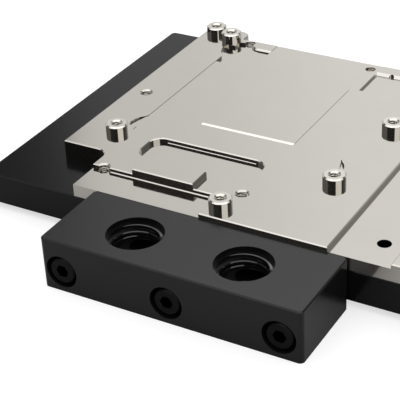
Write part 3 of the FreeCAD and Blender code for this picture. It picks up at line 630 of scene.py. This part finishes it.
class COLDPLATE_OT_base_plate(bpy.types.Operator):
    """Plate the milled base plate with nickel and mill the recess round the die"""

    bl_idname = "coldplate.base_plate"
    bl_label = "Finish Base Plate"

    def execute(self, context):
        look = context.scene.cold_plate_finish
        material = plated_nickel(
            "electroless_nickel",
            look.nickel,
            rough_low=look.nickel_rough - 0.03,
            rough_high=look.nickel_rough + 0.04,
            mark_depth=0.1,
        )
        plate = self.copy_of("base_plate", "milled_plate")
        combine(plate, prism(self.field_outline(PLATE_BACK + OVER), DECK, ABOVE), "DIFFERENCE")
        combine(plate, self.milled_deck(), "UNION")
        for start, end, inward, foot, size in WALL_FEET.values():
            corner = [(-size - LAP, foot - LAP), (LAP, foot - LAP), (LAP, foot + size + LAP)]
            combine(plate, swept([start, end], [inward, inward], corner), "UNION")
        for x, y, low, high in PLATE_THREADS.values():
            mouth = HOLE_MOUTH if y < 0 else BACK_HOLE_MOUTH
            rings = [
                (BORE, low - BELOW_THREAD),
                (BORE, MAIN + BORE - mouth),
                (mouth + HOLE_MOUTH_RISE, MAIN + HOLE_MOUTH_RISE),
            ]
            combine(plate, turned(x, y, rings), "DIFFERENCE")
        mesh = plate.data
        # Points that the cuts left double would be open edges
        weld(mesh, PLATE_WELD * MM)
        mesh.materials.clear()
        mesh.materials.append(material)
        mesh.set_sharp_from_angle(angle=math.radians(PLATE_SHARP))
        # Level and upright faces are made flat last, since the call above makes every face smooth
        for face in mesh.polygons:
            face.material_index = 0
            face.use_smooth = max(abs(part) for part in face.normal) < SQUARE
        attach(plate, "root")
        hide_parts("base_plate")
        return {"FINISHED"}

    def copy_of(self, node, name):
        """New object with a welded copy of a node's mesh."""
        mesh = NODES[node].data.copy()
        mesh.name = name
        # Stored normals and sharp edges of the solid would bend the shading of the new faces
        for layer in ("custom_normal", "sharp_edge"):
            if layer in mesh.attributes:
                mesh.attributes.remove(mesh.attributes[layer])
        weld(mesh, COPY_WELD * MM)
        made = bpy.data.objects.new(name, mesh)
        bpy.context.scene.collection.objects.link(made)
        return made

    def field_outline(self, back):
        """Outline of the milled field round the die, clear of the standoff seats."""
        return [
            (-FIELD_NARROW, FIELD_FRONT),
            (FIELD_NARROW, FIELD_FRONT),
            (FIELD_NARROW, WIDE_FRONT),
            (FIELD_WIDE, WIDE_FRONT),
            (FIELD_WIDE, WIDE_BACK),
            (FIELD_NARROW, WIDE_BACK),
            (FIELD_NARROW, back),
            (-FIELD_NARROW, back),
            (-FIELD_NARROW, WIDE_BACK),
            (-FIELD_WIDE, WIDE_BACK),
            (-FIELD_WIDE, WIDE_FRONT),
            (-FIELD_NARROW, WIDE_FRONT),
        ]

    def sliver(self, side):
        """Sliver pocket beside a front corner relief."""
        points = arc(*RELIEF_ARC, RELIEF_LOW, RELIEF_HIGH)[:-1]
        points += arc(*FRONT_TURN, 180 + RELIEF_HIGH, 180)
        return [(side * x, y) for x, y in points + SLIVER_EDGE]

    def relief(self, side):
        """Rest of a front corner relief, level with the recess and open to the sliver pocket."""
        return [(side * x, y) for x, y in RELIEF_EDGE + [(RELIEF_INSIDE, RECESS_FRONT)]]

    def back_left_pocket(self):
        """Pocket before the back left standoff and its pad."""
        points = [(MOUTH_LEFT, BAY_FRONT), (MOUTH_LEFT, LEFT_PAD_FRONT)]
        points += arc(*PAD_ARC, 270, PAD_END)
        points += arc(*SEAT_ARC, 90, SEAT_END)[:-1]
        points += arc(*BACK_TURN, SEAT_END - 180, 0)
        return points + [(-RECESS_SIDE, BAY_FRONT)]

    def back_right_pocket(self):
        """Pocket before the back right standoff and its pad."""
        return [
            (MOUTH_RIGHT, BAY_FRONT),
            (BAY_RIGHT, BAY_FRONT),
            (BAY_RIGHT, BAY_TURN),
            (RIGHT_PAD_END, RIGHT_PAD_FRONT),
            (MOUTH_RIGHT, RIGHT_PAD_FRONT),
        ]

    def milled_deck(self):
        """Upper layer of the plate round the die: shallow recess, corner pockets, pads and die pad."""
        deck = prism(self.field_outline(PLATE_BACK), DECK, MAIN)
        cuts = [
            (self.sliver(1), POCKET),
            (self.sliver(-1), POCKET),
            (box_outline(-RECESS_SIDE, RECESS_SIDE, RECESS_FRONT, RECESS_BACK), RECESS),
            (box_outline(MOUTH_LEFT, MOUTH_RIGHT, MOUTH_FRONT, PLATE_BACK + OVER), RECESS),
            (self.relief(1), RECESS),
            (self.relief(-1), RECESS),
            (self.back_left_pocket(), POCKET),
            (self.back_right_pocket(), POCKET),
            (circle(*PAD_NICK), POCKET),
        ]
        for outline, floor in cuts:
            combine(deck, prism(outline, floor, ABOVE), "DIFFERENCE")
        # Slope before the right pad
        backward = [(0, 1), (0, 1)]
        line = [(MOUTH_RIGHT, RIGHT_PAD_FRONT), (RIGHT_PAD_END, RIGHT_PAD_FRONT)]
        combine(deck, slope(line, backward, *RIGHT_SLOPE), "DIFFERENCE")
        # Slope before the left pad and round its corner
        x, y, radius = PAD_ARC
        turn = arc(x, y, radius, 270, LEFT_SLOPE_END)
        line = [(MOUTH_LEFT, LEFT_PAD_FRONT)] + turn
        inward = [(0, 1)] + [((x - turn_x) / radius, (y - turn_y) / radius) for turn_x, turn_y in turn]
        combine(deck, slope(line, inward, *LEFT_SLOPE), "DIFFERENCE")
        # Die pad, with the slope at its front
        left, right, front, back = DIE
        combine(deck, prism(box_outline(left, right, front, back), DECK + LAP, MAIN), "UNION")
        ramp = [(-OVER, RAMP_FOOT), (0.0, RAMP_FOOT), (RAMP_RUN, MAIN), (RAMP_RUN, ABOVE), (-OVER, ABOVE)]
        combine(deck, swept([(left - OVER, front), (right + OVER, front)], backward, ramp), "DIFFERENCE")
        return deck


class COLDPLATE_OT_cover(bpy.types.Operator):
    """Finish the machined cover and the terminal block"""

    bl_idname = "coldplate.cover"
    bl_label = "Finish Cover and Terminal"

    def execute(self, context):
        look = context.scene.cold_plate_finish
        cover = machined_acetal("acetal_cover", look.acetal, look.cover_rough, gloss=0.25, direction="Y")
        block = machined_acetal(
            "acetal_terminal", look.terminal, look.terminal_rough, gloss=0.4, direction="Z"
        )
        dress("cover", cover)
        dress("terminal_block", block)
        return {"FINISHED"}


class COLDPLATE_OT_port_threads(bpy.types.Operator):
    """Cut the pipe threads of both ports"""

    bl_idname = "coldplate.port_threads"
    bl_label = "Cut Port Threads"

    def execute(self, context):
        look = context.scene.cold_plate_finish
        size = context.scene.cold_plate_threads
        thread = (size.port_wall, size.port_depth, size.port_pitch)
        material = machined_acetal(
            "acetal_thread", look.terminal, roughness=0.08, gloss=1.0, direction="Z"
        )
        for side, x in PORTS.items():
            for stretch, ends in PORT_STRETCHES.items():
                name = "port_thread_%s_%s" % (side, stretch)
                thread_ridge(name, (x, PORT_Y), thread, ends, PORT_STEPS, material)
        return {"FINISHED"}


class COLDPLATE_OT_standoffs(bpy.types.Operator):
    """Finish the threaded standoffs and cut their threads"""

    bl_idname = "coldplate.standoffs"
    bl_label = "Finish Standoffs"

    def execute(self, context):
        look = context.scene.cold_plate_finish
        size = context.scene.cold_plate_threads
        thread = (size.small_wall, size.small_depth, size.small_pitch)
        material = plated_nickel(
            "nickel_standoff", look.post, rough_low=0.02, rough_high=0.07, mark_depth=0.0
        )
        for name in STANDOFFS:
            dress(name, material)
            low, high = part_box(name)
            middle = ((low[0] + high[0]) / 2 / MM, (low[1] + high[1]) / 2 / MM)
            ends = (low[2] / MM + THREAD_FROM_FOOT, high[2] / MM - THREAD_TO_TOP)
            thread_ridge(name + "_thread", middle, thread, ends, SMALL_STEPS, material)
        return {"FINISHED"}


class COLDPLATE_OT_plate_threads(bpy.types.Operator):
    """Cut the small threads of the base plate"""

    bl_idname = "coldplate.plate_threads"
    bl_label = "Cut Plate Threads"

    def execute(self, context):
        size = context.scene.cold_plate_threads
        thread = (size.plate_wall, size.plate_depth, size.small_pitch)
        material = bpy.data.materials["electroless_nickel"]
        for place, (x, y, low, high) in PLATE_THREADS.items():
            name = "plate_thread_" + place
            thread_ridge(name, (x, y), thread, (low, high), SMALL_STEPS, material)
        return {"FINISHED"}


class COLDPLATE_OT_screws(bpy.types.Operator):
    """Blacken the screws"""

    bl_idname = "coldplate.screws"
    bl_label = "Finish Screws"

    def execute(self, context):
        material = black_oxide("black_oxide_steel", context.scene.cold_plate_finish.screw)
        for name in SCREWS:
            dress(name, material)
        return {"FINISHED"}


class COLDPLATE_OT_inner_pieces(bpy.types.Operator):
    """Finish the seals and the jet plate"""

    bl_idname = "coldplate.inner_pieces"
    bl_label = "Finish Inner Pieces"

    def execute(self, context):
        look = context.scene.cold_plate_finish
        rubber = moulded_rubber("moulded_rubber", look.rubber)
        for name in SEALS:
            dress(name, rubber)
        dress("jet_plate", rolled_steel("rolled_stainless", look.steel))
        return {"FINISHED"}


class COLDPLATE_OT_stage(bpy.types.Operator):
    """Set the floor, the studio dome, the overhead lamp and the camera"""

    bl_idname = "coldplate.stage"
    bl_label = "Set Stage"

    def execute(self, context):
        scene = context.scene
        studio = scene.cold_plate_studio
        self.lay_floor(scene, studio)
        self.build_dome(scene, studio)
        self.hang_lamp(scene, studio)
        self.place_camera(scene, studio)
        scene.view_settings.view_transform = "Standard"
        return {"FINISHED"}

    def lay_floor(self, scene, studio):
        """Pale floor that keeps the shadow and shows white where it is lit."""
        level = cad_low[2] - FLOOR_GAP
        mesh = bpy.data.meshes.new("floor")
        outline = box_outline(-FLOOR_REACH, FLOOR_REACH, -FLOOR_REACH, FLOOR_REACH)
        mesh.from_pydata([(x, y, level) for x, y in outline], [], [(0, 1, 2, 3)])
        material, tree, shader, _ = new_material("pale_floor")
        shader.inputs["Base Color"].default_value = linear(studio.floor)
        shader.inputs["Roughness"].default_value = 1.0
        shader.inputs["Specular IOR Level"].default_value = 0.0
        path = add_node(tree, "ShaderNodeLightPath")
        lift = add_node(
            tree,
            "ShaderNodeMath",
            {"operation": "MULTIPLY", 1: FLOOR_GLOW},
            {0: path.outputs["Is Camera Ray"]},
        )
        shader.inputs["Emission Color"].default_value = (1, 1, 1, 1)
        tree.links.new(lift.outputs["Value"], shader.inputs["Emission Strength"])
        mesh.materials.append(material)
        floor = bpy.data.objects.new("floor", mesh)
        scene.collection.objects.link(floor)

    def build_dome(self, scene, studio):
        """Studio dome: plain light low down and at the top, with panels, a rim and a canopy between."""
        world = bpy.data.worlds.new("studio_dome")
        scene.world = world
        world.use_nodes = True
        tree = world.node_tree
        tree.nodes.clear()
        way = add_node(tree, "ShaderNodeTexCoord").outputs["Generated"]
        from_camera = add_node(tree, "ShaderNodeMapping", {"vector_type": "POINT"}, {"Vector": way})
        from_camera.inputs["Rotation"].default_value = (0.0, 0.0, math.radians(DOME_TURN))
        parts = add_node(tree, "ShaderNodeSeparateXYZ", {}, {"Vector": from_camera.outputs["Vector"]})
        angle = add_node(
            tree, "ShaderNodeMath", {"operation": "ARCTAN2"}, {0: parts.outputs["Y"], 1: parts.outputs["X"]}
        )
        spot = add_node(
            tree,
            "ShaderNodeMapRange",
            {"From Min": -math.pi, "From Max": math.pi},
            {"Value": angle.outputs["Value"]},
        )
        top = add_node(tree, "ShaderNodeRGB").outputs["Color"]
        top.default_value = (1.0, 1.0, 1.0, 1.0)
        shade = add_node(tree, "ShaderNodeRGB").outputs["Color"]
        shade.default_value = (LOW_GREY, LOW_GREY, LOW_GREY, 1.0)
        zones = (
            (PANELS_EDGE, self.ring(tree, spot, PANELS)),
            (RIM_EDGE, self.ring(tree, spot, RIM)),
            (CANOPY_EDGE, self.ring(tree, spot, CANOPY)),
            (TOP_EDGE, top),
        )
        for (start, end), zone in zones:
            height = add_node(
                tree,
                "ShaderNodeMapRange",
                {"From Min": start, "From Max": end, "interpolation_type": "SMOOTHSTEP"},
                {"Value": parts.outputs["Z"]},
            )
            mixed = add_node(
                tree,
                "ShaderNodeMix",
                {"data_type": "RGBA"},
                {0: height.outputs["Result"], 6: shade, 7: zone},
            )
            shade = mixed.outputs[2]
        path = add_node(tree, "ShaderNodeLightPath")
        seen = add_node(
            tree, "ShaderNodeMix", {"data_type": "RGBA"}, {0: path.outputs["Is Camera Ray"], 6: shade}
        )
        seen.inputs[7].default_value = (1.0, 1.0, 1.0, 1.0)
        glow = add_node(
            tree, "ShaderNodeBackground", {"Strength": studio.dome}, {"Color": seen.outputs[2]}
        )
        add_node(tree, "ShaderNodeOutputWorld", {}, {"Surface": glow.outputs["Background"]})

    def ring(self, tree, spot, stops):
        """Grey values round the dome at directions in degrees."""
        node = add_node(tree, "ShaderNodeValToRGB", {}, {"Fac": spot.outputs["Result"]})
        ramp = node.color_ramp
        while len(ramp.elements) < len(stops):
            ramp.elements.new(0.5)
        # Positions before colours, so that a new order of the elements can't mix them up
        for element, (degrees, grey) in zip(ramp.elements, stops):
            element.position = 0.5 + degrees / 360
        for element, (degrees, grey) in zip(ramp.elements, stops):
            element.color = (grey, grey, grey, 1.0)
        return node.outputs["Color"]

    def hang_lamp(self, scene, studio):
        """One large soft lamp above the plate."""
        data = bpy.data.lights.new("overhead_lamp", "AREA")
        data.shape = "RECTANGLE"
        data.size, data.size_y = LAMP_SIZE
        data.energy = studio.key
        lamp = bpy.data.objects.new("overhead_lamp", data)
        lamp.location = LAMP_PLACE
        lamp.rotation_euler = Vector(LAMP_PLACE).to_track_quat("Z", "Y").to_euler()
        scene.collection.objects.link(lamp)

    def place_camera(self, scene, studio):
        """Camera at the photograph's angle."""
        data = bpy.data.cameras.new("camera")
        data.sensor_width = SENSOR
        data.lens = studio.lens
        data.clip_start, data.clip_end = CLIP
        camera = bpy.data.objects.new("camera", data)
        turn = Matrix((CAMERA_RIGHT, CAMERA_UP, CAMERA_BACK)).transposed().to_4x4()
        camera.matrix_world = Matrix.Translation(Vector(CAMERA_PLACE)) @ turn
        scene.collection.objects.link(camera)
        scene.camera = camera


class COLDPLATE_PT_panel(bpy.types.Panel):
    """Lists the finishes and the stage"""

    bl_label = "Cold Plate"
    bl_space_type = "VIEW_3D"
    bl_region_type = "UI"
    bl_category = "Cold Plate"

    def draw(self, context):
        layout = self.layout
        for name in GROUPS:
            group = getattr(context.scene, name)
            column = layout.column(align=True)
            for key in group.__annotations__:
                column.prop(group, key)
        for operator in OPERATORS:
            layout.operator(operator.bl_idname)


GROUPS = {
    "cold_plate_finish": ColdPlateFinish,
    "cold_plate_threads": ColdPlateThreads,
    "cold_plate_studio": ColdPlateStudio,
}
OPERATORS = (
    COLDPLATE_OT_base_plate,
    COLDPLATE_OT_cover,
    COLDPLATE_OT_port_threads,
    COLDPLATE_OT_standoffs,
    COLDPLATE_OT_plate_threads,
    COLDPLATE_OT_screws,
    COLDPLATE_OT_inner_pieces,
    COLDPLATE_OT_stage,
)


def register():
    """Register the settings, the operators and the panel."""
    for name, group in GROUPS.items():
        bpy.utils.register_class(group)
        setattr(bpy.types.Scene, name, bpy.props.PointerProperty(type=group))
    for operator in OPERATORS:
        bpy.utils.register_class(operator)
    bpy.utils.register_class(COLDPLATE_PT_panel)


def unregister():
    """Take the panel, the operators and the settings away again."""
    bpy.utils.unregister_class(COLDPLATE_PT_panel)
    for operator in reversed(OPERATORS):
        bpy.utils.unregister_class(operator)
    for name, group in reversed(GROUPS.items()):
        delattr(bpy.types.Scene, name)
        bpy.utils.unregister_class(group)


def main():
    """Build the look in order."""
    register()
    bpy.ops.coldplate.base_plate()
    bpy.ops.coldplate.cover()
    bpy.ops.coldplate.port_threads()
    bpy.ops.coldplate.standoffs()
    bpy.ops.coldplate.plate_threads()
    bpy.ops.coldplate.screws()
    bpy.ops.coldplate.inner_pieces()
    bpy.ops.coldplate.stage()


if __name__ == "__main__":
    main()
